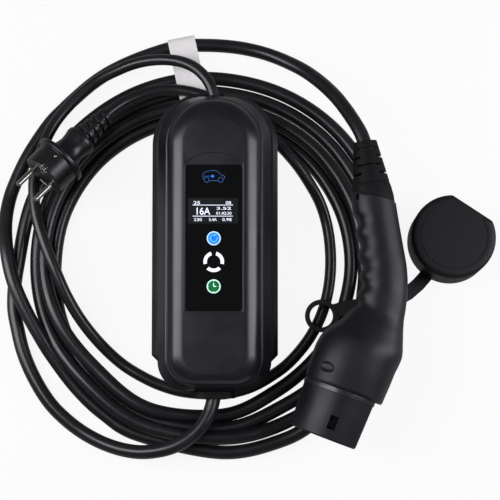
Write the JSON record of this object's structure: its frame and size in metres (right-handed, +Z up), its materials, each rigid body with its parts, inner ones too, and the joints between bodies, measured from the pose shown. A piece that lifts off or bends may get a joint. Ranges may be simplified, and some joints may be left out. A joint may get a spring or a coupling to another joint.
{
  "type": "portable ev charger",
  "caption": "Portable car charger: control box with a display, mains lead with an earthed plug, coiled charge cable, vehicle connector and its strapped rubber cap.",
  "frame": {"origin": "under the middle of the control box, the vehicle connector and the cap together, on the surface that everything lies on", "axes": "+Z up from the surface, +Y along the control box towards its mains end, +X from the box towards the connector and the cap"},
  "size_m": [0.4137, 0.3589, 0.0851],
  "materials": {
    "housing_rear": "fine satin texture",
    "housing_front": "satin",
    "seal_rubber": "dull",
    "screw_steel": "plated",
    "window_gloss": "polished",
    "screen_glass": "polished",
    "icon_light": "translucent",
    "circuit_board": "lacquered",
    "relay_blue": "satin",
    "component_black": "satin",
    "capacitor_yellow": "satin",
    "terminal_green": "satin",
    "wire_brown": "satin",
    "clamp_white": "satin",
    "cable_black": "satin",
    "plug_black": "satin",
    "bridge_white": "satin",
    "pin_nickel": "plated",
    "clip_nickel": "plated",
    "handle_black": "fine satin texture",
    "nose_black": "satin",
    "band_grey": "polished",
    "carrier_black": "satin",
    "contact_silver": "plated",
    "boot_rubber": "dull",
    "grip_metal": "plain",
    "cap_rubber": "dull",
    "tape_white": "plain"
  },
  "bodies": {
    "root": {"rear_shell": "housing_rear", "front_shell": "housing_front", "housing_seal": "seal_rubber", "housing_screws": "screw_steel", "window_panel": "window_gloss", "display_module": "screen_glass", "icon_guides": "icon_light", "display_board": "circuit_board", "main_board": "circuit_board", "board_screws": "screw_steel", "relays": "relay_blue", "current_sensor": "component_black", "supply_module": "component_black", "filter_capacitor": "capacitor_yellow", "wire_terminals": "terminal_green", "conductors": "wire_brown", "cord_clamps": "clamp_white", "mains_gland": "boot_rubber", "charge_gland": "boot_rubber", "plug_body": "plug_black", "pin_bridge": "bridge_white", "plug_pins": "pin_nickel", "earth_contacts": "clip_nickel", "handle_upper": "handle_black", "handle_lower": "handle_black", "handle_screws": "screw_steel", "nose_shroud": "nose_black", "nose_band": "band_grey", "contact_carrier": "carrier_black", "power_contacts": "contact_silver", "signal_contacts": "contact_silver", "cable_boot": "boot_rubber", "cable_grip": "grip_metal", "protective_cap": "cap_rubber", "strap_ring": "cap_rubber", "mains_lead": "cable_black", "charge_cable_start": "cable_black", "charge_cable_coil": "cable_black", "charge_cable_end": "cable_black", "coil_tie": "tape_white"}
  },
  "joints": []
}
